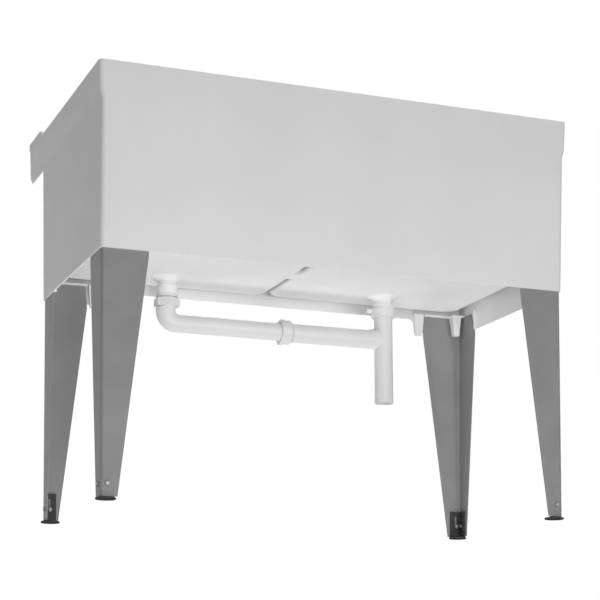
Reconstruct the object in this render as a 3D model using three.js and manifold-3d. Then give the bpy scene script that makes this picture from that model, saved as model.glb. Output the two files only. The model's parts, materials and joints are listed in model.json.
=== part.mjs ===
// A floor-standing double laundry sink: one moulded tub on four sheet-steel legs,
// with levelling feet and the waste pipes that join its two drains.
// Millimetres. X runs along the front, Y from front to back, Z up from the floor.
import * as THREE from 'three';
import { mergeVertices } from 'three/addons/utils/BufferGeometryUtils.js';
import Module from 'manifold-3d';

const wasm = await Module();
wasm.setup();

// The gap left between two pieces that touch on the real sink.
const FIT = 0.3;
// How far a cutting shape runs past the surface that it cuts.
const OVERCUT = 1;
// How deep one joined shape is sunk into another of the same piece.
const SINK = 0.5;
const ROUND_SIDES = 24;
const SMALL_SIDES = 12;
const STRAINER_HOLE_SIDES = 8;
const HEX_SIDES = 6;
const CORNER_STEPS = 5;
// Points closer than this are one point, and no corner is rounded with less than the radius.
const WELD = 1e-4;
const SMALLEST_RADIUS = 1;

// Tub, outside.
const WIDTH = 1016;
const DEPTH = 609.6;
const RIM_HEIGHT = 838.2;
const SKIRT_DROP = 366.7;
const SKIRT_FRONT_TAPER = 16.5;
const SKIRT_SIDE_INSET_TOP = 7.9;
const SKIRT_SIDE_INSET_BOTTOM = 16;
const SKIRT_WALL = 2.7;
const CORNER_RADIUS = 9;
const LIP_DROP = 76;
const LIP_TAPER = 4.2;
const LIP_BLEND = 12;
const RIM_THICKNESS = 4;

// Raised deck behind the bowls, and its two faucet holes.
const DECK_DEPTH = 128.8;
const DECK_RISE = 15;
const DECK_RAMP = 28;
const DECK_RAMP_STEPS = 6;
const REAR_OVERHANG = 117;
const REAR_LIP_DROP = 38;
const FAUCET_CENTRES = 101.6;
const FAUCET_HOLE = 26;
const FAUCET_TO_REAR = 62;

// Rear skirt, which leans back towards the deck and is cut higher between the legs.
const REAR_TAPER = 12;
const REAR_CUT_RISE = 31;
const REAR_CUT_HALF = 375;
const REAR_CUT_RADIUS = 14;
const REAR_CUT_STEPS = 6;

// Bowls. Each inset is measured at the rim, each taper over the bowl's depth.
const BOWL_DEPTH = 314.2;
const BOWL_RIM_FRONT = 21.8;
const BOWL_RIM_SIDE = 22;
const BOWL_TO_DECK = 2;
const DIVIDER_WIDTH = 14;
const BOWL_TAPER_FRONT = 15;
const BOWL_TAPER_SIDE = 10;
const BOWL_TAPER_REAR = 5;
const BOWL_TAPER_MIDDLE = 2;
const BOWL_CORNER = 34;
const BOWL_CORNER_FLOOR = 30;
const BOWL_FILLET = 25;
const BOWL_FILLET_MIDDLE = 8;
const BOWL_FILLET_REAR = 14;
const BOWL_FILLET_STEPS = 6;
const BOWL_WALL = 3.5;
const FLOOR_THICKNESS = 4.5;
const WEB_FRONT = -44;
const WEB_LENGTH = 42.5;
const WEB_HEIGHT = 30;

// Drains, moulded into the bowl floors.
const DRAIN_X = 250;
const DRAIN_Y = 80;
const RECESS_RADIUS = 40;
const RECESS_DEPTH = 1.5;
const BOSS_RADIUS = 34;
const BOSS_DEPTH = 3.5;
const SPIGOT_RADIUS = 23.2;
const SPIGOT_NECK = 20;
const SPIGOT_COLLAR = 19;
const SPIGOT_BORE = 17;
const SPIGOT_LENGTH = 38.5;
const SPIGOT_FLARE = 7;
const FUNNEL_DEPTH = 11;
const FUNNEL_RADIUS = 26;
const STRAINER_RADIUS = 29.2;
const STRAINER_THICKNESS = 2;
const STRAINER_HOLE = 2.6;
const STRAINER_RINGS = [
  { radius: 8, holes: 4 },
  { radius: 18, holes: 10 },
];
const STOPPER_RADIUS = 36.5;
const STOPPER_THICKNESS = 5.2;
const STOPPER_EDGE = 1.5;
const KNOB_NECK = 5.5;
const KNOB_RADIUS = 8.5;
const KNOB_HEIGHT = 16;
const KNOB_CAP = 5;

// Legs: folded sheet steel, pushed up into the skirt's corners.
const LEG_INSERT = 38.5;
const LEG_SHEET = 2;
const LEG_BOTTOM = 5;
const LEG_LEAN_SIDE = 12;
const LEG_LEAN_FRONT = 2;
const LEG_LEAN_REAR = 7.3;
const LEG_WIDEST_BELOW_TOP = 46;
const LEG_FACE_TOP = 89;
const LEG_FACE_WIDEST = 92.5;
const LEG_FACE_BOTTOM = 32;
const LEG_SIDE_TOP = 65;
const LEG_SIDE_WIDEST = 84;
const LEG_SIDE_BOTTOM = 33.5;

// Sockets for the legs, moulded under the tub.
const LEDGE_THICKNESS = 3;
const LEDGE_WIDTH = 12;
const LEDGE_SPAN = 92;
const LEDGE_CORNER = 31;
const PEG_OVERHANG = 5.5;
const PEG_CENTRE = 19;
const PEG_TOP = 21;
const PEG_TIP = 13;
const TAB_WIDTH = 24;
const TAB_TIP = 15;
const TAB_DEPTH = 13;
const TAB_OVERHANG = 8.5;
const TAB_GAP = 2;
const RIB_THICKNESS = 4;
const RIB_DEPTH = 6.5;

// Levelling feet and the screws that clamp them to the legs.
const PAD_RADIUS = 19.5;
const PAD_HEIGHT = 3.8;
const PAD_CHAMFER = 1;
const PAD_OFFSET_X = 13;
const PAD_OFFSET_Y = 12.5;
const BRACKET_SHEET = 2.5;
const BRACKET_TOP = 61.5;
const BRACKET_FACE = 27;
const BRACKET_SIDE = 29.5;
const SCREW_HEIGHT = 28.5;
const SCREW_FACE_OFFSET = 13;
const SCREW_SIDE_OFFSET = 18;
const SCREW_RADIUS = 2.4;
const SCREW_CLEARANCE = 0.4;
const SCREW_HEAD_RADIUS = 4.7;
const SCREW_HEAD_HEIGHT = 3;
const SCREW_HEAD_EDGE = 1;
const SCREW_TIP = 1;
const NUT_FLATS = 8;
const NUT_THICKNESS = 4;
const FOOT_TRAVEL = 20;

// Waste pipes.
const ARM_RADIUS = 19.05;
const ARM_BORE = 17.6;
const ARM_DROP = 59.6;
const ELBOW_RADIUS = 26;
const ELBOW_STEPS = 7;
const ELBOW_SWELL = 4.5;
const ELBOW_SHOULDER = 1.5;
const ARM_END = 45;
const COUPLING_LENGTH = 5.7;
const COUPLING_THREAD_RADIUS = 20.5;
const COUPLING_THREAD_LENGTH = 11;
const COUPLING_PLUG = 14;
const COUPLING_BORE = 13.5;
const FLANGE_THICKNESS = 2;
const FLAT_WASHER_THICKNESS = 2;
const NUT_LIP = 3.2;
const HEX_NUT_CORNERS = 57;
const ARM_NUT_HEIGHT = 16.6;
const TEE_RADIUS = 20.5;
const TEE_BORE = 17.5;
const TEE_TAIL = 141.3;
const TEE_COLLAR = 25.3;
const TEE_COLLAR_RUN = 5;
const TEE_FILLET_RUN = 20;
const TEE_FILLET_RISE = 3.5;
const SOCKET_START = 10;
const SOCKET_LENGTH = 17;
const CONE_WASHER_SEAT = 4.5;
const CONE_WASHER_TIP = 0.6;
const SLIP_NUT_RADIUS = 26.5;
const TEE_NUT_HEIGHT = 20;
const SLIP_NUT_EDGE = 1.2;
const SLIP_NUT_LENGTH = 23;
const TEE_WING_REACH = 13;
const TEE_WING_START = 8;
const ARM_WING_REACH = 1.5;
const ARM_WING_TURN = 20;
const WING_WIDTH = 5;
const WING_LENGTH = 9;

// Levels and planes that follow from the sizes above.
const REAR_Y = DEPTH / 2;
const FRONT_Y = -DEPTH / 2;
const SKIRT_Z = RIM_HEIGHT - SKIRT_DROP;
const LIP_Z = RIM_HEIGHT - LIP_DROP;
const DECK_Z = RIM_HEIGHT + DECK_RISE;
const DECK_FRONT_Y = REAR_Y - DECK_DEPTH;
const REAR_SKIRT_Y = REAR_Y - REAR_OVERHANG;
const REAR_INNER_Y = REAR_SKIRT_Y - SKIRT_WALL;
const REAR_LIP_Z = RIM_HEIGHT - REAR_LIP_DROP;
const FLOOR_Z = RIM_HEIGHT - BOWL_DEPTH;
const UNDER_Z = FLOOR_Z - FLOOR_THICKNESS;
const RECESS_Z = FLOOR_Z - RECESS_DEPTH;
const BOSS_Z = UNDER_Z - BOSS_DEPTH;
const SPIGOT_Z = UNDER_Z - SPIGOT_LENGTH;
const ARM_Z = SPIGOT_Z - ARM_DROP;
const TEE_BOTTOM = ARM_Z - TEE_TAIL;
const LEG_TOP = SKIRT_Z + LEG_INSERT;
const LEG_RUN = LEG_TOP - LEG_BOTTOM;
const LEG_BEND = CORNER_RADIUS - SKIRT_WALL + FIT;
const BRACKET_BEND = LEG_BEND - LEG_SHEET - FIT;
const PEG_Z = SKIRT_Z - PEG_OVERHANG;
const TAB_Z = SKIRT_Z - TAB_OVERHANG;

const STEEL_GREY = { color: 0x8a8a8a, roughness: 0.45, metalness: 0.6 };
const MOULDED_WHITE = { color: 0xd6d5d6, roughness: 0.5, metalness: 0 };
const PIPE_WHITE = { color: 0xdddddd, roughness: 0.4, metalness: 0 };
const FOOT_BLACK = { color: 0x3c3c3e, roughness: 0.6, metalness: 0 };
const ZINC = { color: 0xb4b6b8, roughness: 0.35, metalness: 0.9 };
const STAINLESS = { color: 0xc4c6c8, roughness: 0.3, metalness: 1 };
const RUBBER = { color: 0x2b2b2d, roughness: 0.8, metalness: 0 };

const sink = new THREE.Group();

// ---------- solids ----------

// Six times the signed volume of an indexed mesh: below zero if its faces point in.
function signedVolume(positions, index) {
  const corners = [new THREE.Vector3(), new THREE.Vector3(), new THREE.Vector3()];
  let total = 0;
  for (let i = 0; i < index.length; i += 3) {
    corners.forEach((corner, j) => corner.fromArray(positions, 3 * index[i + j]));
    total += corners[0].dot(corners[1].cross(corners[2]));
  }
  return total;
}

// Makes a solid of a closed geometry, with its faces turned outward.
function solid(geometry) {
  const bare = geometry.clone();
  bare.deleteAttribute('normal');
  bare.deleteAttribute('uv');
  const welded = mergeVertices(bare, WELD);
  const vertProperties = new Float32Array(welded.attributes.position.array);
  const triVerts = new Uint32Array(welded.index.array);
  if (signedVolume(vertProperties, triVerts) < 0) {
    for (let i = 0; i < triVerts.length; i += 3) {
      [triVerts[i], triVerts[i + 1]] = [triVerts[i + 1], triVerts[i]];
    }
  }
  return new wasm.Manifold(new wasm.Mesh({ numProp: 3, vertProperties, triVerts }));
}

function join(solids) {
  return solids.reduce((whole, piece) => whole.add(piece));
}

// Adds a finished solid to the sink as one named mesh.
function addPart(name, shape, finish) {
  const mesh = shape.getMesh();
  const geometry = new THREE.BufferGeometry();
  geometry.setAttribute('position', new THREE.BufferAttribute(mesh.vertProperties, 3));
  geometry.setIndex(new THREE.BufferAttribute(mesh.triVerts, 1));
  geometry.computeVertexNormals();
  const part = new THREE.Mesh(geometry, new THREE.MeshStandardMaterial(finish));
  part.name = name;
  sink.add(part);
}

// Splits a flat outline into triangles that turn the same way as the outline does.
function capTriangles(outline) {
  const flat = outline.map((point) => new THREE.Vector2(point.x, point.y));
  const clockwise = THREE.ShapeUtils.isClockWise(flat);
  return THREE.ShapeUtils.triangulateShape(flat, [])
    .map(([a, b, c]) => (clockwise ? [a, c, b] : [a, b, c]));
}

// Skins a row of rings that all have the same number of points.
// The outlines are the first and last rings as flat shapes, for the two end caps.
function loft(rings, firstOutline = rings[0], lastOutline = rings[rings.length - 1]) {
  const count = rings[0].length;
  const positions = rings.flatMap((ring) => ring.flatMap((point) => point.toArray()));
  const index = [];
  const last = (rings.length - 1) * count;
  capTriangles(firstOutline).forEach(([a, b, c]) => index.push(a, c, b));
  capTriangles(lastOutline).forEach(([a, b, c]) => index.push(last + a, last + b, last + c));
  for (let low = 0; low < last; low += count) {
    for (let a = 0; a < count; a += 1) {
      const b = (a + 1) % count;
      index.push(low + a, low + b, low + count + b);
      index.push(low + a, low + count + b, low + count + a);
    }
  }
  const geometry = new THREE.BufferGeometry();
  geometry.setAttribute('position', new THREE.Float32BufferAttribute(positions, 3));
  geometry.setIndex(index);
  return solid(geometry);
}

// A level rectangle with round corners, as a ring of points.
function rectangleRing(x0, x1, y0, y1, radius, z) {
  const centres = [[x1 - radius, y1 - radius], [x0 + radius, y1 - radius],
    [x0 + radius, y0 + radius], [x1 - radius, y0 + radius]];
  return centres.flatMap(([x, y], quarter) => Array.from({ length: CORNER_STEPS + 1 }, (_, i) => {
    const angle = (quarter + i / CORNER_STEPS) * Math.PI / 2;
    return new THREE.Vector3(x + radius * Math.cos(angle), y + radius * Math.sin(angle), z);
  }));
}

// A plain block between two corners, which may be given in any order.
function block(x0, x1, y0, y1, z0, z1) {
  const geometry = new THREE.BoxGeometry(Math.abs(x1 - x0), Math.abs(y1 - y0), Math.abs(z1 - z0));
  geometry.translate((x0 + x1) / 2, (y0 + y1) / 2, (z0 + z1) / 2);
  return solid(geometry);
}

// A block that narrows from its top to its tip, both centred on (x, y).
function peg(x, y, topX, topY, tipX, tipY, zTop, zTip) {
  const corners = (halfX, halfY, z) => [[1, 1], [-1, 1], [-1, -1], [1, -1]]
    .map(([sideX, sideY]) => new THREE.Vector3(x + sideX * halfX, y + sideY * halfY, z));
  return loft([corners(tipX / 2, tipY / 2, zTip), corners(topX / 2, topY / 2, zTop)]);
}

// Spins a profile of [radius, height] pairs about an upright axis at (x, y).
function turned(profile, x = 0, y = 0, sides = ROUND_SIDES) {
  const points = profile.map(([radius, height]) => new THREE.Vector2(radius, height));
  const geometry = new THREE.LatheGeometry(points, sides);
  geometry.rotateX(Math.PI / 2);
  geometry.translate(x, y, 0);
  return solid(geometry);
}

function cylinder(radius, z0, z1, x = 0, y = 0, sides = ROUND_SIDES) {
  return turned([[0, z0], [radius, z0], [radius, z1], [0, z1]], x, y, sides);
}

function ring(outer, inner, z0, z1, x = 0, y = 0) {
  return turned([[inner, z0], [outer, z0], [outer, z1], [inner, z1], [inner, z0]], x, y);
}

// Turns a shape made about the Z axis so that its axis runs along X, through (y, z).
function alongX(shape, y, z) {
  return shape.rotate([0, 90, 0]).translate([0, y, z]);
}

// ---------- tub ----------

function frontFace(z) {
  return FRONT_Y + SKIRT_FRONT_TAPER * (RIM_HEIGHT - z) / SKIRT_DROP;
}

// The rear skirt's outer face, which is upright above the lip's lower edge.
function rearFace(z) {
  return REAR_SKIRT_Y + REAR_TAPER * (Math.min(z, LIP_Z) - SKIRT_Z) / (LIP_Z - SKIRT_Z);
}

function skirtSide(z) {
  const rise = (z - SKIRT_Z) / (LIP_Z - SKIRT_Z);
  return WIDTH / 2 - THREE.MathUtils.lerp(SKIRT_SIDE_INSET_BOTTOM, SKIRT_SIDE_INSET_TOP, rise);
}

function lipSide(z) {
  return WIDTH / 2 - LIP_TAPER * (RIM_HEIGHT - z) / LIP_DROP;
}

// One level of the skirt or lip, drawn in by a wall where it is the inner surface.
function tubLevel(halfWidth, rear, inset, z) {
  const radius = Math.max(CORNER_RADIUS - inset, SMALLEST_RADIUS);
  return rectangleRing(-halfWidth + inset, halfWidth - inset, frontFace(z) + inset, rear, radius, z);
}

function tubOutside() {
  const skirt = loft([SKIRT_Z, LIP_Z + SINK].map((z) => tubLevel(skirtSide(z), rearFace(z), 0, z)));
  const blend = LIP_Z + LIP_BLEND;
  const lip = loft([
    tubLevel(skirtSide(LIP_Z), REAR_Y, 0, LIP_Z),
    tubLevel(lipSide(blend), REAR_Y, 0, blend),
    tubLevel(lipSide(RIM_HEIGHT), REAR_Y, 0, RIM_HEIGHT),
  ]);
  return skirt.add(lip).add(raisedDeck());
}

function raisedDeck() {
  const profile = new THREE.Shape();
  profile.moveTo(DECK_FRONT_Y, RIM_HEIGHT - SINK);
  for (let i = 0; i <= DECK_RAMP_STEPS; i += 1) {
    const along = i / DECK_RAMP_STEPS;
    const rise = DECK_RISE * (1 - Math.cos(Math.PI * along)) / 2;
    profile.lineTo(DECK_FRONT_Y + DECK_RAMP * along, RIM_HEIGHT + rise);
  }
  profile.lineTo(REAR_Y, DECK_Z);
  profile.lineTo(REAR_Y, RIM_HEIGHT - SINK);
  const geometry = new THREE.ExtrudeGeometry(profile, { depth: WIDTH, bevelEnabled: false });
  geometry.rotateX(Math.PI / 2);
  geometry.rotateZ(Math.PI / 2);
  geometry.translate(-WIDTH / 2, 0, 0);
  return solid(geometry);
}

// The hollow inside the skirt, open below.
function skirtHollow() {
  const low = SKIRT_Z - OVERCUT;
  const blend = LIP_Z + LIP_BLEND;
  const top = RIM_HEIGHT - RIM_THICKNESS;
  const level = (halfWidth, z) => tubLevel(halfWidth, rearFace(z) - SKIRT_WALL, SKIRT_WALL, z);
  return loft([level(skirtSide(low), low), level(skirtSide(LIP_Z), LIP_Z),
    level(lipSide(blend), blend), level(lipSide(top), top)]);
}

// The hollow under the deck, behind the rear skirt. It rises where the deck has risen,
// and opens at the back below the rear lip.
function deckHollow() {
  const front = rearFace(LIP_Z);
  const rear = REAR_Y - SKIRT_WALL;
  const blend = LIP_Z + LIP_BLEND;
  const top = RIM_HEIGHT - RIM_THICKNESS;
  const inside = (halfWidth) => halfWidth - SKIRT_WALL;
  const level = (halfWidth, z) => rectangleRing(-inside(halfWidth), inside(halfWidth), front, rear,
    SMALLEST_RADIUS, z);
  const low = loft([level(skirtSide(LIP_Z), LIP_Z - OVERCUT), level(lipSide(blend), blend),
    level(lipSide(top), top)]);
  const high = block(-inside(lipSide(top)), inside(lipSide(top)), DECK_FRONT_Y + DECK_RAMP, rear,
    top - OVERCUT, DECK_Z - RIM_THICKNESS);
  const back = block(-inside(skirtSide(LIP_Z)), inside(skirtSide(LIP_Z)), rear - OVERCUT,
    REAR_Y + OVERCUT, LIP_Z - OVERCUT, REAR_LIP_Z);
  return join([low, high, back]);
}

function filletInset(radius, height) {
  if (height >= radius) {
    return 0;
  }
  return radius - Math.sqrt(radius ** 2 - (radius - height) ** 2);
}

// The space inside a bowl, or its outside when grown by a wall. side is -1 or 1.
function bowlShape(side, wall, floor, top) {
  const largest = Math.max(BOWL_FILLET, BOWL_FILLET_MIDDLE, BOWL_FILLET_REAR);
  const heights = Array.from({ length: BOWL_FILLET_STEPS + 1 }, (_, i) =>
    largest * (1 - Math.cos(Math.PI / 2 * i / BOWL_FILLET_STEPS)));
  const levels = heights.map((height) => ({ height, z: floor + height }));
  levels.push({ height: top - floor, z: top });
  return loft(levels.map(({ height, z }) => {
    const sunk = (RIM_HEIGHT - z) / BOWL_DEPTH;
    const inset = filletInset(BOWL_FILLET, height);
    const middle = DIVIDER_WIDTH / 2 + BOWL_TAPER_MIDDLE * sunk - wall
      + filletInset(BOWL_FILLET_MIDDLE, height);
    const outer = WIDTH / 2 - BOWL_RIM_SIDE - BOWL_TAPER_SIDE * sunk + wall - inset;
    const front = FRONT_Y + BOWL_RIM_FRONT + BOWL_TAPER_FRONT * sunk - wall + inset;
    const rear = DECK_FRONT_Y - BOWL_TO_DECK - BOWL_TAPER_REAR * sunk + wall
      - filletInset(BOWL_FILLET_REAR, height);
    const radius = Math.max(BOWL_CORNER - inset, BOWL_CORNER_FLOOR);
    const ends = side < 0 ? [-outer, -middle] : [middle, outer];
    return rectangleRing(...ends, front, rear, radius, z);
  }));
}

// The boss and spigot that the drain hangs from, and the way through them.
function drainBoss(x) {
  const collar = SPIGOT_Z + SPIGOT_COLLAR;
  return turned([[0, SPIGOT_Z], [SPIGOT_RADIUS, SPIGOT_Z], [SPIGOT_RADIUS, collar],
    [SPIGOT_NECK, collar + SPIGOT_RADIUS - SPIGOT_NECK], [SPIGOT_NECK, BOSS_Z - SPIGOT_FLARE],
    [BOSS_RADIUS - SPIGOT_FLARE, BOSS_Z], [BOSS_RADIUS, UNDER_Z - SINK], [BOSS_RADIUS, UNDER_Z + SINK],
    [0, UNDER_Z + SINK]], x, DRAIN_Y);
}

function drainBore(x) {
  const seat = RECESS_Z - STRAINER_THICKNESS - FIT;
  const top = FLOOR_Z + STOPPER_THICKNESS;
  return turned([[0, SPIGOT_Z - OVERCUT], [SPIGOT_BORE, SPIGOT_Z - OVERCUT],
    [SPIGOT_BORE, seat - FUNNEL_DEPTH], [FUNNEL_RADIUS, seat], [STRAINER_RADIUS + FIT, seat],
    [STRAINER_RADIUS + FIT, RECESS_Z], [RECESS_RADIUS, RECESS_Z], [RECESS_RADIUS, top], [0, top]],
    x, DRAIN_Y);
}

// The rear skirt stops higher between the two leg sockets, with round ends.
function rearSkirtCut() {
  const top = SKIRT_Z + REAR_CUT_RISE;
  const behind = rearFace(top) + OVERCUT;
  const outline = new THREE.Shape();
  outline.moveTo(-REAR_CUT_HALF, SKIRT_Z - OVERCUT);
  outline.lineTo(REAR_CUT_HALF, SKIRT_Z - OVERCUT);
  outline.lineTo(REAR_CUT_HALF, top - REAR_CUT_RADIUS);
  outline.absarc(REAR_CUT_HALF - REAR_CUT_RADIUS, top - REAR_CUT_RADIUS, REAR_CUT_RADIUS,
    0, Math.PI / 2);
  outline.lineTo(-REAR_CUT_HALF + REAR_CUT_RADIUS, top);
  outline.absarc(-REAR_CUT_HALF + REAR_CUT_RADIUS, top - REAR_CUT_RADIUS, REAR_CUT_RADIUS,
    Math.PI / 2, Math.PI);
  const geometry = new THREE.ExtrudeGeometry(outline, {
    depth: behind - REAR_INNER_Y + OVERCUT, bevelEnabled: false, curveSegments: REAR_CUT_STEPS,
  });
  geometry.rotateX(Math.PI / 2);
  geometry.translate(0, behind, 0);
  return solid(geometry);
}

// The ledge that a leg stops against, with the rib, tab and peg that hold it in place.
function legSocket(side, end) {
  const fold = legFold(side, end, LEG_TOP);
  const wallX = side * (skirtSide(LEG_TOP) - SKIRT_WALL + SINK);
  const wallY = end < 0 ? frontFace(LEG_TOP) + SKIRT_WALL - SINK : rearFace(LEG_TOP) - SKIRT_WALL + SINK;
  const inX = (reach) => fold.x - side * reach;
  const inY = (reach) => fold.y - end * reach;
  const low = LEG_TOP + FIT;
  const high = low + LEDGE_THICKNESS;
  const pieces = [
    block(wallX, inX(LEDGE_SPAN), wallY, inY(LEDGE_WIDTH), low, high),
    block(wallX, inX(LEDGE_CORNER), wallY, inY(LEDGE_CORNER), low, high),
    block(wallX, inX(RIB_DEPTH), inY(LEG_SIDE_WIDEST + TAB_GAP),
      inY(LEG_SIDE_WIDEST + TAB_GAP + RIB_THICKNESS), SKIRT_Z, high),
  ];
  if (end > 0) {
    const x = inX(LEG_FACE_WIDEST + TAB_GAP + TAB_WIDTH / 2);
    const y = REAR_SKIRT_Y - TAB_DEPTH / 2;
    pieces.push(peg(x, y, TAB_WIDTH, TAB_DEPTH, TAB_TIP, TAB_DEPTH / 2, high, TAB_Z));
  }
  if (end > 0 && side > 0) {
    pieces.push(peg(inX(PEG_CENTRE), inY(PEG_CENTRE), PEG_TOP, PEG_TOP, PEG_TIP, PEG_TIP,
      low + SINK, PEG_Z));
  }
  return join(pieces);
}

function tub() {
  const sides = [-1, 1];
  const shell = tubOutside().subtract(skirtHollow()).subtract(deckHollow()).subtract(rearSkirtCut());
  const bowls = sides.map((side) => bowlShape(side, BOWL_WALL, UNDER_Z, RIM_HEIGHT - SINK));
  const bosses = sides.map((side) => drainBoss(side * DRAIN_X));
  const halfWeb = DIVIDER_WIDTH / 2 + BOWL_TAPER_MIDDLE - BOWL_WALL + BOWL_FILLET_MIDDLE;
  const web = block(-halfWeb, halfWeb, WEB_FRONT, WEB_FRONT + WEB_LENGTH, UNDER_Z, UNDER_Z + WEB_HEIGHT);
  const sockets = sides.flatMap((side) => sides.map((end) => legSocket(side, end)));
  let shape = join([shell, ...bowls, ...bosses, web, ...sockets]);
  for (const side of sides) {
    const hole = cylinder(FAUCET_HOLE / 2, LIP_Z, DECK_Z + OVERCUT,
      side * FAUCET_CENTRES / 2, REAR_Y - FAUCET_TO_REAR);
    shape = shape.subtract(bowlShape(side, 0, FLOOR_Z, RIM_HEIGHT + OVERCUT));
    shape = shape.subtract(drainBore(side * DRAIN_X)).subtract(hole);
  }
  return shape;
}

// ---------- legs and feet ----------

// Where a leg's outer fold stands at a height. side is -1 left, 1 right; end is -1 front, 1 rear.
function legFold(side, end, z) {
  const sunk = (LEG_TOP - z) / LEG_RUN;
  const x = skirtSide(LEG_TOP) - SKIRT_WALL - FIT - LEG_LEAN_SIDE * sunk;
  const front = frontFace(SKIRT_Z) + SKIRT_WALL + FIT + LEG_LEAN_FRONT * (SKIRT_Z - z) / LEG_RUN;
  const rear = REAR_INNER_Y - FIT - LEG_LEAN_REAR * sunk;
  return new THREE.Vector2(side * x, end < 0 ? front : rear);
}

// An angle section seen from above: two flanges and a round fold, inset from the leg's own fold.
function angleRing(side, end, z, inset, sheet, bend, faceWidth, sideWidth) {
  const fold = legFold(side, end, z);
  const outer = [[faceWidth, inset]];
  const inner = [];
  for (let i = 0; i <= CORNER_STEPS; i += 1) {
    const angle = Math.PI / 2 * i / CORNER_STEPS;
    const centre = inset + bend;
    outer.push([centre - bend * Math.sin(angle), centre - bend * Math.cos(angle)]);
    inner.unshift([centre - (bend - sheet) * Math.sin(angle), centre - (bend - sheet) * Math.cos(angle)]);
  }
  outer.push([inset, sideWidth], [inset + sheet, sideWidth]);
  inner.push([faceWidth, inset + sheet]);
  return [...outer, ...inner]
    .map(([u, v]) => new THREE.Vector3(fold.x - side * u, fold.y - end * v, z));
}

// A round-ended slot, or a round hole when its length is nothing, that leans with the leg.
function slot(side, end, along, radius, z0, z1) {
  const steps = SMALL_SIDES / 2;
  const arc = (z, start) => Array.from({ length: steps + 1 }, (_, i) => {
    const angle = start + Math.PI * i / steps;
    return [radius * Math.cos(angle), z + radius * Math.sin(angle)];
  });
  const outline = z1 > z0 ? [...arc(z1, 0), ...arc(z0, Math.PI)]
    : [...arc(z0, 0), ...arc(z0, Math.PI).slice(1, -1)];
  const reach = (depth) => outline.map(([across, z]) => {
    const fold = legFold(side, end, z);
    return along === 'face'
      ? new THREE.Vector3(fold.x - side * (SCREW_FACE_OFFSET + across), fold.y - end * depth, z)
      : new THREE.Vector3(fold.x - side * depth, fold.y - end * (SCREW_SIDE_OFFSET + across), z);
  });
  const flat = outline.map(([across, z]) => new THREE.Vector2(across, z));
  return loft([reach(-OVERCUT), reach(LEG_BEND + BRACKET_SHEET)], flat, flat);
}

function leg(side, end) {
  const level = (z, face, flank) => angleRing(side, end, z, 0, LEG_SHEET, LEG_BEND, face, flank);
  const shape = loft([
    level(LEG_BOTTOM, LEG_FACE_BOTTOM, LEG_SIDE_BOTTOM),
    level(LEG_TOP - LEG_WIDEST_BELOW_TOP, LEG_FACE_WIDEST, LEG_SIDE_WIDEST),
    level(LEG_TOP, LEG_FACE_TOP, LEG_SIDE_TOP),
  ]);
  const radius = SCREW_RADIUS + SCREW_CLEARANCE;
  return shape
    .subtract(slot(side, end, 'face', radius, SCREW_HEIGHT, SCREW_HEIGHT))
    .subtract(slot(side, end, 'side', radius, SCREW_HEIGHT, SCREW_HEIGHT));
}

// A round pad with an angle bracket standing on it, inside the leg.
function foot(side, end) {
  const fold = legFold(side, end, LEG_BOTTOM);
  const pad = turned([[0, 0], [PAD_RADIUS - PAD_CHAMFER, 0], [PAD_RADIUS, PAD_CHAMFER],
    [PAD_RADIUS, PAD_HEIGHT - PAD_CHAMFER], [PAD_RADIUS - PAD_CHAMFER, PAD_HEIGHT], [0, PAD_HEIGHT]],
    fold.x - side * PAD_OFFSET_X, fold.y - end * PAD_OFFSET_Y);
  const bracket = loft([PAD_HEIGHT - SINK, BRACKET_TOP].map((z) => angleRing(side, end, z,
    LEG_SHEET + FIT, BRACKET_SHEET, BRACKET_BEND, BRACKET_FACE, BRACKET_SIDE)));
  const radius = SCREW_RADIUS + SCREW_CLEARANCE;
  const high = SCREW_HEIGHT + FOOT_TRAVEL;
  return pad.add(bracket)
    .subtract(slot(side, end, 'face', radius, SCREW_HEIGHT, high))
    .subtract(slot(side, end, 'side', radius, SCREW_HEIGHT, high));
}

// Screws and nuts are made standing on a face that looks down, then turned to their flange.
function screwSolid() {
  const grip = LEG_SHEET + FIT + BRACKET_SHEET + FIT + NUT_THICKNESS + SCREW_TIP;
  const head = -SCREW_HEAD_HEIGHT - FIT;
  return turned([[0, head], [SCREW_HEAD_RADIUS - SCREW_HEAD_EDGE, head],
    [SCREW_HEAD_RADIUS, head + SCREW_HEAD_EDGE], [SCREW_HEAD_RADIUS, -FIT], [SCREW_RADIUS, -FIT],
    [SCREW_RADIUS, grip], [0, grip]], 0, 0, SMALL_SIDES);
}

function nutSolid() {
  const start = LEG_SHEET + FIT + BRACKET_SHEET + FIT;
  const corner = NUT_FLATS / Math.sqrt(3);
  const bore = SCREW_RADIUS + FIT;
  const hex = cylinder(corner, start, start + NUT_THICKNESS, 0, 0, HEX_SIDES);
  return hex.subtract(cylinder(bore, start - OVERCUT, start + NUT_THICKNESS + OVERCUT, 0, 0, SMALL_SIDES));
}

function onFlange(shape, side, end, along) {
  const fold = legFold(side, end, SCREW_HEIGHT);
  if (along === 'face') {
    return shape.rotate([end * 90, 0, 0])
      .translate([fold.x - side * SCREW_FACE_OFFSET, fold.y, SCREW_HEIGHT]);
  }
  return shape.rotate([0, -side * 90, 0])
    .translate([fold.x, fold.y - end * SCREW_SIDE_OFFSET, SCREW_HEIGHT]);
}

// ---------- drains and waste pipes ----------

function strainer(x) {
  const low = RECESS_Z - STRAINER_THICKNESS;
  let plate = cylinder(STRAINER_RADIUS, low, RECESS_Z, x, DRAIN_Y);
  for (const { radius, holes } of STRAINER_RINGS) {
    for (let i = 0; i < holes; i += 1) {
      const angle = 2 * Math.PI * i / holes;
      plate = plate.subtract(cylinder(STRAINER_HOLE, low - OVERCUT, RECESS_Z + OVERCUT,
        x + radius * Math.cos(angle), DRAIN_Y + radius * Math.sin(angle), STRAINER_HOLE_SIDES));
    }
  }
  return plate;
}

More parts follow.
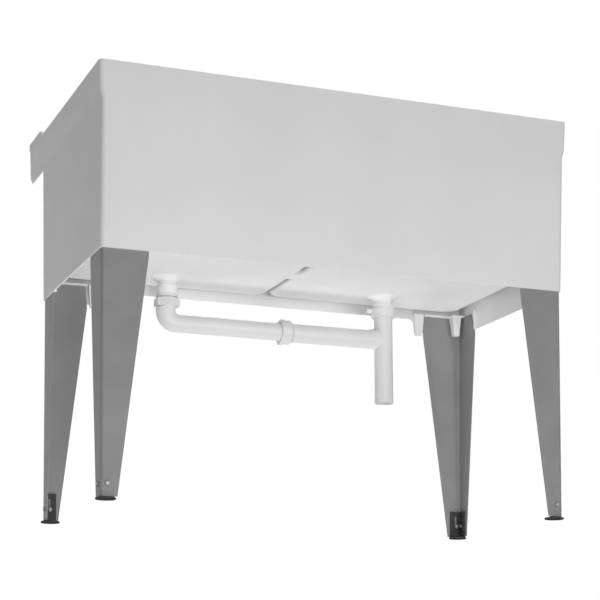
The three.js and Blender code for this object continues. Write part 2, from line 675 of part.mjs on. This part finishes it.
function stopper(x) {
  const low = RECESS_Z + FIT;
  const top = low + STOPPER_THICKNESS;
  const knobTop = top + KNOB_HEIGHT;
  return turned([[0, low], [STOPPER_RADIUS - STOPPER_EDGE, low], [STOPPER_RADIUS, low + STOPPER_EDGE],
    [STOPPER_RADIUS - STOPPER_EDGE, top], [KNOB_RADIUS, top], [KNOB_NECK, top + KNOB_CAP],
    [KNOB_NECK, knobTop - KNOB_CAP], [KNOB_RADIUS, knobTop - KNOB_CAP / 2], [KNOB_NECK, knobTop],
    [0, knobTop]], x, DRAIN_Y);
}

// The stack under the left drain, from the spigot's end down to the arm's flange.
const COUPLING_TOP = SPIGOT_Z - FIT;
const COUPLING_FACE = COUPLING_TOP - COUPLING_LENGTH;
const COUPLING_END = COUPLING_FACE - COUPLING_THREAD_LENGTH;
const ARM_WASHER_Z = COUPLING_END - FIT - FLAT_WASHER_THICKNESS;
const ARM_FLANGE_Z = ARM_WASHER_Z - FIT - FLANGE_THICKNESS;
const ARM_NUT_Z = ARM_FLANGE_Z - FIT - NUT_LIP;

function coupling() {
  return turned([[COUPLING_BORE, COUPLING_END], [COUPLING_THREAD_RADIUS, COUPLING_END],
    [COUPLING_THREAD_RADIUS, COUPLING_FACE], [SPIGOT_RADIUS, COUPLING_FACE],
    [SPIGOT_RADIUS, COUPLING_TOP], [SPIGOT_BORE - FIT, COUPLING_TOP],
    [SPIGOT_BORE - FIT, COUPLING_TOP + COUPLING_PLUG], [COUPLING_BORE, COUPLING_TOP + COUPLING_PLUG],
    [COUPLING_BORE, COUPLING_END]], -DRAIN_X, DRAIN_Y);
}

function armNut() {
  const top = ARM_NUT_Z + ARM_NUT_HEIGHT;
  const hex = cylinder(HEX_NUT_CORNERS / 2, ARM_NUT_Z, top, 0, 0, HEX_SIDES);
  const thread = cylinder(COUPLING_THREAD_RADIUS + FIT, ARM_NUT_Z + NUT_LIP, top + OVERCUT);
  const mouth = cylinder(ARM_RADIUS + FIT, ARM_NUT_Z - OVERCUT, ARM_NUT_Z + NUT_LIP + OVERCUT);
  return hex.subtract(thread).subtract(mouth).translate([-DRAIN_X, DRAIN_Y, 0]);
}

// A pipe of one radius that comes down from the drain, bends and runs along X.
// The outside of the bend swells, most at the shoulder under the nut.
function armRun(radius, extra, swell) {
  const circle = Array.from({ length: ROUND_SIDES }, (_, i) => {
    const angle = 2 * Math.PI * i / ROUND_SIDES;
    return new THREE.Vector2(radius * Math.cos(angle), radius * Math.sin(angle));
  });
  const turn = new THREE.Vector3(-DRAIN_X + ELBOW_RADIUS, DRAIN_Y, ARM_Z + ELBOW_RADIUS);
  const ringAt = (bend, swollen, x, z) => circle.map((point) => {
    const reach = ELBOW_RADIUS - point.x * (point.x < 0 ? 1 + swollen / radius : 1);
    return new THREE.Vector3(turn.x - reach * Math.cos(bend) + x, DRAIN_Y + point.y,
      turn.z - reach * Math.sin(bend) + z);
  });
  const shoulder = ARM_NUT_Z - FIT - turn.z;
  const rings = [
    ringAt(0, 0, 0, ARM_FLANGE_Z + FLANGE_THICKNESS - turn.z + extra),
    ringAt(0, 0, 0, shoulder),
    ringAt(0, swell, 0, shoulder - ELBOW_SHOULDER),
  ];
  for (let i = 0; i <= ELBOW_STEPS; i += 1) {
    const bend = Math.PI / 2 * i / ELBOW_STEPS;
    rings.push(ringAt(bend, swell * Math.cos(bend), 0, 0));
  }
  rings.push(ringAt(Math.PI / 2, 0, ARM_END - turn.x + extra, 0));
  return loft(rings, circle, circle);
}

function wasteArm() {
  const flange = cylinder(COUPLING_THREAD_RADIUS - FIT, ARM_FLANGE_Z, ARM_FLANGE_Z + FLANGE_THICKNESS,
    -DRAIN_X, DRAIN_Y);
  return armRun(ARM_RADIUS, 0, ELBOW_SWELL).add(flange).subtract(armRun(ARM_BORE, OVERCUT, 0));
}

const TEE_WASHER_Z = SPIGOT_Z - FIT - FLAT_WASHER_THICKNESS;
const TEE_FLANGE_Z = TEE_WASHER_Z - FIT - FLANGE_THICKNESS;
const TEE_NUT_Z = TEE_FLANGE_Z - FIT - NUT_LIP;
const TEE_TOP = TEE_FLANGE_Z + FLANGE_THICKNESS;
const SOCKET_END = SOCKET_START + SOCKET_LENGTH;

// A pipe along X at the arm's height, from x0 to x1.
function branchPipe(radius, x0, x1) {
  return alongX(cylinder(radius, x0, x1), DRAIN_Y, ARM_Z);
}

// Below the right drain: an upright pipe, and the branch that the arm slides into.
function tee() {
  const collar = alongX(turned([[0, SOCKET_END], [TEE_COLLAR, SOCKET_END],
    [TEE_RADIUS, SOCKET_END + TEE_COLLAR_RUN], [0, SOCKET_END + TEE_COLLAR_RUN]]), DRAIN_Y, ARM_Z);
  const filletStart = DRAIN_X - TEE_RADIUS - TEE_FILLET_RUN;
  const circle = (x, rise) => Array.from({ length: ROUND_SIDES }, (_, i) => {
    const angle = 2 * Math.PI * i / ROUND_SIDES;
    const radius = TEE_RADIUS + rise;
    return new THREE.Vector3(x, DRAIN_Y + radius * Math.cos(angle) * TEE_RADIUS / radius,
      ARM_Z + rise + radius * Math.sin(angle));
  });
  const flat = circle(0, 0).map((point) => new THREE.Vector2(point.y, point.z));
  const fillet = loft([circle(filletStart, 0), circle(DRAIN_X - TEE_RADIUS / 2, TEE_FILLET_RISE)],
    flat, flat);
  const outside = join([
    cylinder(TEE_RADIUS, TEE_BOTTOM, TEE_TOP, DRAIN_X, DRAIN_Y),
    cylinder(SPIGOT_RADIUS, TEE_FLANGE_Z, TEE_TOP, DRAIN_X, DRAIN_Y),
    branchPipe(TEE_RADIUS, SOCKET_START + SINK, DRAIN_X),
    branchPipe(SPIGOT_RADIUS, SOCKET_START, SOCKET_END + SINK),
    collar,
    fillet,
  ]);
  const bore = cylinder(TEE_BORE, TEE_BOTTOM - OVERCUT, TEE_TOP + OVERCUT, DRAIN_X, DRAIN_Y);
  const washerSeat = branchPipe(TEE_RADIUS + FIT, SOCKET_START - OVERCUT, SOCKET_START + CONE_WASHER_SEAT);
  return outside.subtract(bore).subtract(washerSeat)
    .subtract(branchPipe(ARM_RADIUS + FIT, SOCKET_START - OVERCUT, DRAIN_X));
}

// A round slip nut, standing on its lip, with wings to turn it by. sides lists where they are.
function slipNut(height, mouth, wingStart, wingReach, sides) {
  const body = turned([[mouth, 0], [SLIP_NUT_RADIUS - SLIP_NUT_EDGE, 0], [SLIP_NUT_RADIUS, SLIP_NUT_EDGE],
    [SLIP_NUT_RADIUS, height - SLIP_NUT_EDGE], [SLIP_NUT_RADIUS - SLIP_NUT_EDGE, height],
    [SPIGOT_RADIUS + FIT, height], [SPIGOT_RADIUS + FIT, NUT_LIP], [mouth, NUT_LIP], [mouth, 0]]);
  const inner = SPIGOT_RADIUS + FIT + SINK;
  const outer = SLIP_NUT_RADIUS + wingReach;
  const wings = sides.map((side) => block(side * inner, side * outer,
    -WING_WIDTH / 2, WING_WIDTH / 2, wingStart, wingStart + WING_LENGTH));
  return join([body, ...wings]);
}

function teeNut() {
  return slipNut(TEE_NUT_HEIGHT, TEE_RADIUS + FIT, TEE_WING_START, TEE_WING_REACH, [-1])
    .translate([DRAIN_X, DRAIN_Y, TEE_NUT_Z]);
}

const ARM_SLIP_NUT_X = SOCKET_END - FIT - SLIP_NUT_LENGTH;

function armSlipNut() {
  const shape = slipNut(SLIP_NUT_LENGTH, ARM_RADIUS + FIT, 0, ARM_WING_REACH, [-1, 1])
    .rotate([0, 0, ARM_WING_TURN]);
  return alongX(shape, DRAIN_Y, ARM_Z).translate([ARM_SLIP_NUT_X, 0, 0]);
}

// The soft ring that the slip nut squeezes onto the arm.
function coneWasher() {
  const start = ARM_SLIP_NUT_X + NUT_LIP + FIT;
  const end = SOCKET_START + CONE_WASHER_SEAT - FIT;
  const inner = ARM_RADIUS + FIT;
  return alongX(turned([[inner, start], [SPIGOT_RADIUS - FIT, start],
    [SPIGOT_RADIUS - FIT, SOCKET_START - FIT], [TEE_RADIUS, SOCKET_START - FIT],
    [inner + CONE_WASHER_TIP, end], [inner, end], [inner, start]]), DRAIN_Y, ARM_Z);
}

// ---------- assembly ----------

addPart('tub', tub(), MOULDED_WHITE);
for (const [side, hand] of [[-1, 'left'], [1, 'right']]) {
  for (const [end, place] of [[-1, 'front'], [1, 'rear']]) {
    const corner = `${place}_${hand}`;
    addPart(`leg_${corner}`, leg(side, end), STEEL_GREY);
    addPart(`foot_${corner}`, foot(side, end), FOOT_BLACK);
    for (const along of ['face', 'side']) {
      addPart(`leg_screw_${along}_${corner}`, onFlange(screwSolid(), side, end, along), ZINC);
      addPart(`leg_nut_${along}_${corner}`, onFlange(nutSolid(), side, end, along), ZINC);
    }
  }
  addPart(`strainer_${hand}`, strainer(side * DRAIN_X), STAINLESS);
  addPart(`stopper_${hand}`, stopper(side * DRAIN_X), RUBBER);
}
addPart('drain_coupling_left', coupling(), PIPE_WHITE);
addPart('waste_arm', wasteArm(), PIPE_WHITE);
addPart('arm_flat_washer', ring(COUPLING_THREAD_RADIUS - FIT, SPIGOT_BORE, ARM_WASHER_Z,
  ARM_WASHER_Z + FLAT_WASHER_THICKNESS, -DRAIN_X, DRAIN_Y), RUBBER);
addPart('arm_hex_nut', armNut(), PIPE_WHITE);
addPart('waste_tee', tee(), PIPE_WHITE);
addPart('tee_flat_washer', ring(SPIGOT_RADIUS - FIT, SPIGOT_BORE, TEE_WASHER_Z,
  TEE_WASHER_Z + FLAT_WASHER_THICKNESS, DRAIN_X, DRAIN_Y), RUBBER);
addPart('tee_slip_nut', teeNut(), PIPE_WHITE);
addPart('arm_slip_nut', armSlipNut(), PIPE_WHITE);
addPart('arm_cone_washer', coneWasher(), RUBBER);

export default sink;
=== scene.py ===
import json
import math

import bmesh
import bpy
from mathutils import Euler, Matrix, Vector


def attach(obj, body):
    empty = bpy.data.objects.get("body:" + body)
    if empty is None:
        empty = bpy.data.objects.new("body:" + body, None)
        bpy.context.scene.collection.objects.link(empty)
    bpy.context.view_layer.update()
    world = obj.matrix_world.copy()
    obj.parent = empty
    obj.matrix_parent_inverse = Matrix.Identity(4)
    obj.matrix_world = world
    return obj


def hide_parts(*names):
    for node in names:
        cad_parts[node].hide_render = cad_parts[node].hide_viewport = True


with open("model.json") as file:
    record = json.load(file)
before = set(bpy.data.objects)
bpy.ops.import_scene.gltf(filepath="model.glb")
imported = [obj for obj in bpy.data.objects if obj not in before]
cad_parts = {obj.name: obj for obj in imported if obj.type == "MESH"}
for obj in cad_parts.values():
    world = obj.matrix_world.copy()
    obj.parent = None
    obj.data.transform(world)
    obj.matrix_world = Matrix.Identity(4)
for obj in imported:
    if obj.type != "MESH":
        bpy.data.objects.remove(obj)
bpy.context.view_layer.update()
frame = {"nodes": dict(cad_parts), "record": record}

# The photograph's camera, fitted to the sink's corners. Metres and radians.
CAMERA_PLACE = (-1.2729, -3.3206, -0.3735)
CAMERA_YAW = 0.3716
CAMERA_PITCH = 0.2341
LENS_MM = 103.19
SENSOR_MM = 36.0
CLIP_RANGE = (0.05, 100)

# How the CAD nodes' copies are cleaned before their edges are rounded.
WELD_DISTANCE = 1e-5
FLAT_ANGLE = math.radians(0.4)
SHARP_ANGLE = math.radians(32)

# Edge radii, in metres.
TUB_EDGE = 0.0011
PIPE_EDGE = 0.0006
SHEET_EDGE = 0.0004
FOOT_EDGE = 0.0008
SMALL_EDGE = 0.0003

EDGE_SEGMENTS = 3

# Colours, in linear RGB. Plastic and steel have a lighter and a darker cloud.
TUB_LIGHT, TUB_DARK = (0.755, 0.748, 0.75), (0.725, 0.717, 0.72)
PIPE_LIGHT, PIPE_DARK = (0.67, 0.67, 0.67), (0.645, 0.645, 0.65)
STEEL_LIGHT, STEEL_DARK = (0.257, 0.257, 0.26), (0.224, 0.225, 0.228)
STEEL_WORN = (0.33, 0.33, 0.325)
FOOT_BLACK, FOOT_DUST = (0.03, 0.03, 0.032), (0.085, 0.085, 0.083)
RUBBER_BLACK, RUBBER_BLOOM = (0.018, 0.018, 0.019), (0.06, 0.06, 0.058)
ZINC = (0.27, 0.275, 0.285)
STAINLESS = (0.68, 0.68, 0.69)
SOILED_SHARE = 0.93
DULLED_SHARE = 0.72

# The floor, half a side of it, and how far out it fades to white. Metres.
FLOOR_HALF = 9.0
FLOOR_FADE = (1.3, 5.0)
FLOOR_COLOUR = (0.86, 0.86, 0.86)

# Round lamps that face the middle of the sink: name, place, size in metres and power in watts.
LAMP_TARGET = (0, 0, 0.5)
LAMPS = (
    ("key", (-0.75, -4.24, -0.43), 0.9, 59),
    ("fill", (1.3, -4.24, -0.33), 0.9, 40),
    ("below", (-0.3, -0.5, -2.5), 1.5, 16),
    ("below_front", (-0.4, -1.6, -2.2), 2.2, 50),
    ("side_low", (-3.0, 1.8, -1.2), 2.0, 31),
    ("over", (0.2, 0.7, 3.4), 2.6, 50),
    ("behind", (1.6, 4.2, 1.7), 2.2, 100),
)
WHITE = (1, 1, 1, 1)
AMBIENT = 0.03


# ---------- materials ----------

class Shader:
    """One material's node tree, with short ways to add and join its nodes."""

    def __init__(self, name, roughness, metallic=0.0, **sockets):
        self.material = bpy.data.materials.new(name)
        self.material.use_nodes = True
        self.nodes = self.material.node_tree.nodes
        self.links = self.material.node_tree.links
        self.surface = self.nodes["Principled BSDF"]
        self.surface.inputs["Roughness"].default_value = roughness
        self.surface.inputs["Metallic"].default_value = metallic
        for socket, value in sockets.items():
            self.surface.inputs[socket.replace("_", " ")].default_value = value
        self.place = self.nodes.new("ShaderNodeTexCoord").outputs["Object"]

    def noise(self, scale, detail=2.0, stretch=(1, 1, 1)):
        """Noise in the piece's own space: scale is in features per metre."""
        mapping = self.nodes.new("ShaderNodeMapping")
        mapping.inputs["Scale"].default_value = stretch
        self.links.new(self.place, mapping.inputs["Vector"])
        texture = self.nodes.new("ShaderNodeTexNoise")
        texture.inputs["Scale"].default_value = scale
        texture.inputs["Detail"].default_value = detail
        self.links.new(mapping.outputs["Vector"], texture.inputs["Vector"])
        return texture.outputs["Fac"]

    def ramp(self, value, low, high, first=(0, 0, 0), last=(1, 1, 1)):
        """Turns a value between low and high into a colour between first and last."""
        node = self.nodes.new("ShaderNodeValToRGB")
        node.color_ramp.elements[0].position = low
        node.color_ramp.elements[0].color = (*first, 1)
        node.color_ramp.elements[1].position = high
        node.color_ramp.elements[1].color = (*last, 1)
        self.links.new(value, node.inputs["Fac"])
        return node.outputs["Color"]

    def mix(self, factor, first, last):
        """Mixes two colours, each a socket or three numbers."""
        node = self.nodes.new("ShaderNodeMix")
        node.data_type = "RGBA"
        colour_inputs = [i for i in node.inputs if i.type == "RGBA"]
        for socket, colour in zip(colour_inputs, (first, last)):
            self.feed(socket, colour)
        self.feed(node.inputs["Factor"], factor)
        return next(o for o in node.outputs if o.type == "RGBA")

    def feed(self, socket, value):
        if isinstance(value, bpy.types.NodeSocket):
            self.links.new(value, socket)
        elif isinstance(value, tuple):
            socket.default_value = (*value, 1)
        else:
            socket.default_value = value

    def scale_range(self, value, low, high):
        """Maps a value from 0 to 1 onto low to high."""
        node = self.nodes.new("ShaderNodeMapRange")
        node.inputs["To Min"].default_value = low
        node.inputs["To Max"].default_value = high
        self.links.new(value, node.inputs["Value"])
        return node.outputs["Result"]

    def colour(self, value):
        self.feed(self.surface.inputs["Base Color"], value)

    def roughness(self, value):
        self.feed(self.surface.inputs["Roughness"], value)

    def bump(self, *layers):
        """Stacks bumps: each layer is a height socket and its depth in metres."""
        normal = None
        for height, depth in layers:
            node = self.nodes.new("ShaderNodeBump")
            node.inputs["Strength"].default_value = 1.0
            node.inputs["Distance"].default_value = depth
            self.links.new(height, node.inputs["Height"])
            if normal is not None:
                self.links.new(normal, node.inputs["Normal"])
            normal = node.outputs["Normal"]
        self.links.new(normal, self.surface.inputs["Normal"])


def moulded_plastic(name, light, dark, roughness, grain_depth):
    """White plastic: cloudy colour, faint streaks of flow, fine grain and a few dull scuffs."""
    shader = Shader(name, roughness, Specular_IOR_Level=0.4)
    clouds = shader.ramp(shader.noise(scale=5, detail=3), 0.35, 0.7)
    streaks = shader.ramp(shader.noise(scale=9, detail=2, stretch=(1, 1, 0.15)), 0.45, 0.75)
    scuffs = shader.ramp(shader.noise(scale=60, detail=6, stretch=(1, 0.4, 1)), 0.66, 0.72)
    body = shader.mix(clouds, dark, light)
    soiled = tuple(SOILED_SHARE * channel for channel in dark)
    streaked = shader.mix(shader.scale_range(streaks, 0, 0.25), body, soiled)
    shader.colour(shader.mix(shader.scale_range(scuffs, 0, 0.2), streaked, soiled))
    shader.roughness(shader.scale_range(shader.noise(scale=35, detail=4),
                                        roughness - 0.07, roughness + 0.09))
    shader.bump((shader.noise(scale=14, detail=2), 0.0006),
                (shader.noise(scale=1400, detail=3), grain_depth))
    return shader.material


def coated_steel(name):
    """Grey coated sheet: fine orange peel, faint rolling marks and small worn specks."""
    shader = Shader(name, 0.45, Specular_IOR_Level=0.3)
    clouds = shader.ramp(shader.noise(scale=11, detail=4), 0.35, 0.68)
    rolling = shader.ramp(shader.noise(scale=160, detail=3, stretch=(1, 1, 0.02)), 0.4, 0.7)
    specks = shader.ramp(shader.noise(scale=420, detail=4), 0.72, 0.76)
    body = shader.mix(clouds, STEEL_DARK, STEEL_LIGHT)
    rolled = shader.mix(shader.scale_range(rolling, 0, 0.18), body, STEEL_DARK)
    shader.colour(shader.mix(shader.scale_range(specks, 0, 0.35), rolled, STEEL_WORN))
    shader.roughness(shader.scale_range(shader.noise(scale=45, detail=4), 0.4, 0.55))
    shader.bump((shader.noise(scale=20, detail=1), 0.0004),
                (shader.noise(scale=900, detail=3), 0.00005))
    return shader.material


def dark_plastic(name):
    """The feet: dull dark plastic, dustier in patches."""
    shader = Shader(name, 0.6, Specular_IOR_Level=0.25)
    dust = shader.ramp(shader.noise(scale=70, detail=5), 0.45, 0.75)
    shader.colour(shader.mix(shader.scale_range(dust, 0, 0.6), FOOT_BLACK, FOOT_DUST))
    shader.roughness(shader.scale_range(dust, 0.5, 0.75))
    shader.bump((shader.noise(scale=1100, detail=3), 0.00008))
    return shader.material


def plated_metal(name, colour, roughness):
    """Zinc or stainless steel, finely brushed, with duller patches."""
    shader = Shader(name, roughness, metallic=1.0)
    patches = shader.ramp(shader.noise(scale=240, detail=4), 0.4, 0.7)
    dulled = tuple(DULLED_SHARE * channel for channel in colour)
    shader.colour(shader.mix(shader.scale_range(patches, 0, 0.6), colour, dulled))
    shader.roughness(shader.scale_range(shader.noise(scale=500, detail=4),
                                        roughness - 0.08, roughness + 0.12))
    shader.bump((shader.noise(scale=2600, detail=2, stretch=(1, 0.1, 1)), 0.00003))
    return shader.material


def rubber(name):
    """Black rubber with a pale bloom and a fine sandy skin."""
    shader = Shader(name, 0.78, Specular_IOR_Level=0.3)
    bloom = shader.ramp(shader.noise(scale=120, detail=5), 0.42, 0.75)
    shader.colour(shader.mix(shader.scale_range(bloom, 0, 0.5), RUBBER_BLACK, RUBBER_BLOOM))
    shader.bump((shader.noise(scale=1800, detail=3), 0.00006))
    return shader.material


MATERIALS = {
    "tub_plastic": moulded_plastic("tub_plastic", TUB_LIGHT, TUB_DARK, roughness=0.5,
                                   grain_depth=0.00005),
    "pipe_plastic": moulded_plastic("pipe_plastic", PIPE_LIGHT, PIPE_DARK, roughness=0.36,
                                    grain_depth=0.00002),
    "leg_steel": coated_steel("leg_steel"),
    "foot_plastic": dark_plastic("foot_plastic"),
    "screw_zinc": plated_metal("screw_zinc", ZINC, roughness=0.44),
    "strainer_steel": plated_metal("strainer_steel", STAINLESS, roughness=0.26),
    "black_rubber": rubber("black_rubber"),
}
EDGES = {
    "tub_plastic": TUB_EDGE,
    "pipe_plastic": PIPE_EDGE,
    "leg_steel": SHEET_EDGE,
    "foot_plastic": FOOT_EDGE,
    "screw_zinc": SMALL_EDGE,
    "strainer_steel": SMALL_EDGE,
    "black_rubber": SMALL_EDGE,
}
SLOT_OF = {entry["node"]: entry["material_slot"] for entry in frame["record"]["subparts"]}


# ---------- pieces ----------

def body_of_node(node):
    bodies = frame["record"]["behaviour"]["bodies"]
    return next(body for body, nodes in bodies.items() if node in nodes)


def add_object(name, mesh, slot_name):
    """Links a mesh as a piece, with the finish of one of the record's slots."""
    piece = bpy.data.objects.new(name, mesh)
    bpy.context.scene.collection.objects.link(piece)
    mesh.materials.clear()
    mesh.materials.append(MATERIALS[slot_name])
    return piece


def shade_smooth(bm):
    """Smooth faces, with the edges that are still sharp marked so."""
    for face in bm.faces:
        face.smooth = True
    for edge in bm.edges:
        edge.smooth = len(edge.link_faces) == 2 and edge.calc_face_angle() < SHARP_ANGLE


def finished(node):
    """Replaces a CAD node by its copy with round edges and smoothly shaded curves."""
    slot_name = SLOT_OF[node]
    bm = bmesh.new()
    bm.from_mesh(frame["nodes"][node].data)
    bmesh.ops.remove_doubles(bm, verts=bm.verts, dist=WELD_DISTANCE)
    bmesh.ops.dissolve_limit(bm, angle_limit=FLAT_ANGLE, verts=bm.verts, edges=bm.edges)
    sharp = [e for e in bm.edges if len(e.link_faces) == 2 and e.calc_face_angle() > SHARP_ANGLE]
    bmesh.ops.bevel(bm, geom=sharp, offset=EDGES[slot_name], offset_type="OFFSET",
                    segments=EDGE_SEGMENTS, profile=0.5, affect="EDGES", clamp_overlap=True)
    shade_smooth(bm)
    mesh = bpy.data.meshes.new(f"{node}_finished")
    bm.to_mesh(mesh)
    bm.free()
    piece = add_object(f"{node}_finished", mesh, slot_name)
    weights = piece.modifiers.new("even_normals", "WEIGHTED_NORMAL")
    weights.keep_sharp = True
    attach(piece, body_of_node(node))
    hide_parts(node)


# ---------- stage ----------

def highest(tree, *sockets):
    """The highest of some sockets: 1 where any of them is 1."""
    result = sockets[0]
    for socket in sockets[1:]:
        node = tree.nodes.new("ShaderNodeMath")
        node.operation = "MAXIMUM"
        tree.links.new(result, node.inputs[0])
        tree.links.new(socket, node.inputs[1])
        result = node.outputs["Value"]
    return result


def mix_shaders(tree, factor, first, last):
    """The first shader where the factor is 0, and the last where it is 1."""
    node = tree.nodes.new("ShaderNodeMixShader")
    for socket, value in zip(node.inputs, (factor, first, last)):
        tree.links.new(value, socket)
    return node.outputs["Shader"]


def floor_fade(tree, place, seen):
    """Rises from 0 near the sink to 1 far from it, for what the camera sees alone."""
    distance = tree.nodes.new("ShaderNodeVectorMath")
    distance.operation = "LENGTH"
    tree.links.new(place, distance.inputs[0])
    fade = tree.nodes.new("ShaderNodeMapRange")
    fade.interpolation_type = "SMOOTHSTEP"
    fade.inputs["From Min"].default_value, fade.inputs["From Max"].default_value = FLOOR_FADE
    tree.links.new(distance.outputs["Value"], fade.inputs["Value"])
    both = tree.nodes.new("ShaderNodeMath")
    both.operation = "MULTIPLY"
    tree.links.new(fade.outputs["Result"], both.inputs[0])
    tree.links.new(seen, both.inputs[1])
    return both.outputs["Value"]


def floor_material():
    """Pale paper that fades to white far out, and is clear from below and to shadows."""
    material = bpy.data.materials.new("floor_paper")
    material.use_nodes = True
    material.cycles.emission_sampling = "NONE"
    tree = material.node_tree
    tree.nodes.clear()
    paper = tree.nodes.new("ShaderNodeBsdfDiffuse")
    paper.inputs["Color"].default_value = (*FLOOR_COLOUR, 1)
    clear = tree.nodes.new("ShaderNodeBsdfTransparent")
    white = tree.nodes.new("ShaderNodeEmission")
    surface = tree.nodes.new("ShaderNodeNewGeometry").outputs
    ray = tree.nodes.new("ShaderNodeLightPath").outputs
    fade = floor_fade(tree, surface["Position"], ray["Is Camera Ray"])
    faded = mix_shaders(tree, fade, paper.outputs["BSDF"], white.outputs["Emission"])
    see_through = highest(tree, surface["Backfacing"], ray["Is Shadow Ray"])
    output = tree.nodes.new("ShaderNodeOutputMaterial")
    tree.links.new(mix_shaders(tree, see_through, faded, clear.outputs["BSDF"]),
                   output.inputs["Surface"])
    return material


def make_floor():
    """A pale floor that keeps the sink's shadow, and that a camera below it sees through."""
    mesh = bpy.data.meshes.new("floor")
    corners = [(-FLOOR_HALF, -FLOOR_HALF, 0), (FLOOR_HALF, -FLOOR_HALF, 0),
               (FLOOR_HALF, FLOOR_HALF, 0), (-FLOOR_HALF, FLOOR_HALF, 0)]
    mesh.from_pydata(corners, [], [(0, 1, 2, 3)])
    floor = bpy.data.objects.new("floor", mesh)
    bpy.context.scene.collection.objects.link(floor)
    mesh.materials.append(floor_material())


def make_lamp(name, place, size, power):
    data = bpy.data.lights.new(name, "AREA")
    data.shape = "DISK"
    data.size = size
    data.energy = power
    lamp = bpy.data.objects.new(name, data)
    lamp.location = place
    aim = Vector(LAMP_TARGET) - Vector(place)
    lamp.rotation_euler = aim.to_track_quat("-Z", "Y").to_euler()
    bpy.context.scene.collection.objects.link(lamp)


def make_world():
    """White to the camera and in what shines, and a softer even light on the object."""
    world = bpy.data.worlds.new("studio")
    bpy.context.scene.world = world
    world.use_nodes = True
    tree = world.node_tree
    tree.nodes.clear()
    backgrounds = []
    for strength in (AMBIENT, 1.0):
        background = tree.nodes.new("ShaderNodeBackground")
        background.inputs["Color"].default_value = WHITE
        background.inputs["Strength"].default_value = strength
        backgrounds.append(background.outputs["Background"])
    ray = tree.nodes.new("ShaderNodeLightPath").outputs
    shown = highest(tree, ray["Is Camera Ray"], ray["Is Glossy Ray"], ray["Is Transmission Ray"])
    output = tree.nodes.new("ShaderNodeOutputWorld")
    tree.links.new(mix_shaders(tree, shown, *backgrounds), output.inputs["Surface"])


def make_camera():
    data = bpy.data.cameras.new("photo_camera")
    data.lens = LENS_MM
    data.sensor_width = SENSOR_MM
    data.sensor_fit = "HORIZONTAL"
    data.clip_start, data.clip_end = CLIP_RANGE
    camera = bpy.data.objects.new("photo_camera", data)
    camera.location = CAMERA_PLACE
    camera.rotation_euler = Euler((math.pi / 2 + CAMERA_PITCH, 0, -CAMERA_YAW))
    bpy.context.scene.collection.objects.link(camera)
    bpy.context.scene.camera = camera


for node_name in sorted(frame["nodes"]):
    finished(node_name)
make_floor()
for lamp_values in LAMPS:
    make_lamp(*lamp_values)
make_world()
make_camera()
bpy.context.scene.view_settings.view_transform = "Standard"
